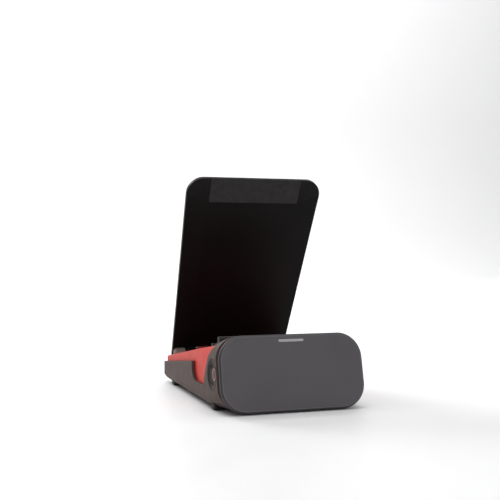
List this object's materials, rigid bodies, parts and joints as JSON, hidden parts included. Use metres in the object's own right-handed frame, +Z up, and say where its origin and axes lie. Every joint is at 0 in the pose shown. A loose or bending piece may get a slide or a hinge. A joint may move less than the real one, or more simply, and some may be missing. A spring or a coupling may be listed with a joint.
{
  "type": "golf launch monitor",
  "caption": "Wedge-shaped radar launch monitor with a leaning face, a groove for a phone and a black backrest that folds down over the deck.",
  "frame": {"origin": "centre of the footprint on the ground, with the backrest open", "axes": "+X across the unit, +Y from the face to the rear, +Z up"},
  "size_m": [0.084, 0.1338, 0.129],
  "materials": {
    "shell_plastic": "fine satin texture, warm grey",
    "cap_plastic": "satin, pale warm grey",
    "bezel_plastic": "satin, dark warm grey",
    "base_plastic": "fine matt texture",
    "deck_plastic": "satin red moulding",
    "face_plastic": "very fine matt texture, charcoal",
    "seam_rubber": "matt",
    "light_guide": "milky, satin",
    "ring_guide": "milky, tinted red",
    "grip_rubber": "matt soft rubber",
    "foot_rubber": "matt",
    "backrest_plastic": "satin black",
    "button_plastic": "satin",
    "pin_steel": "ground",
    "screw_steel": "zinc plated",
    "circuit_board": "solder resist",
    "antenna_copper": "gold plated",
    "shield_steel": "tin plated",
    "chip_plastic": "moulded",
    "ribbon_film": "polyimide film",
    "battery_wrap": "printed film without marks",
    "battery_foam": "closed-cell foam"
  },
  "bodies": {
    "unit": {"outer_shell": "shell_plastic", "base_plate": "base_plastic", "deck_cover": "deck_plastic", "face_plate": "face_plastic", "face_gasket": "seam_rubber", "light_bar": "light_guide", "phone_rest": "grip_rubber", "hinge_pins": "pin_steel", "hinge_washers": "pin_steel", "button_bezel": "bezel_plastic", "button_light_ring": "ring_guide", "power_switch": "chip_plastic", "button_board": "circuit_board", "radar_board": "circuit_board", "antenna_patches": "antenna_copper", "radar_shield": "shield_steel", "led_board": "circuit_board", "main_board": "circuit_board", "board_chips": "chip_plastic", "processor_shield": "shield_steel", "flat_cable": "ribbon_film", "battery_pack": "battery_wrap", "battery_pad": "battery_foam", "charging_port": "shield_steel", "base_screws": "screw_steel", "board_screws": "screw_steel", "radar_screws": "screw_steel", "front_left_foot": "foot_rubber", "front_right_foot": "foot_rubber", "rear_left_foot": "foot_rubber", "rear_right_foot": "foot_rubber"},
    "backrest": {"backrest_panel": "backrest_plastic", "backrest_grip": "grip_rubber", "hinge_cap_left": "cap_plastic", "hinge_cap_right": "cap_plastic"},
    "power_button": {"power_button": "button_plastic"}
  },
  "joints": [
    {"name": "backrest_fold", "type": "hinge", "parent": "unit", "child": "backrest", "pos_m": [0, 0.05437, 0.01831], "axis": [1, 0, 0], "range_deg": [0, 50]},
    {"name": "power_button_press", "type": "slide", "parent": "unit", "child": "power_button", "axis": [1, 0, 0], "range_m": [0, 0.0006], "stiffness_N_per_m": 1500}
  ]
}
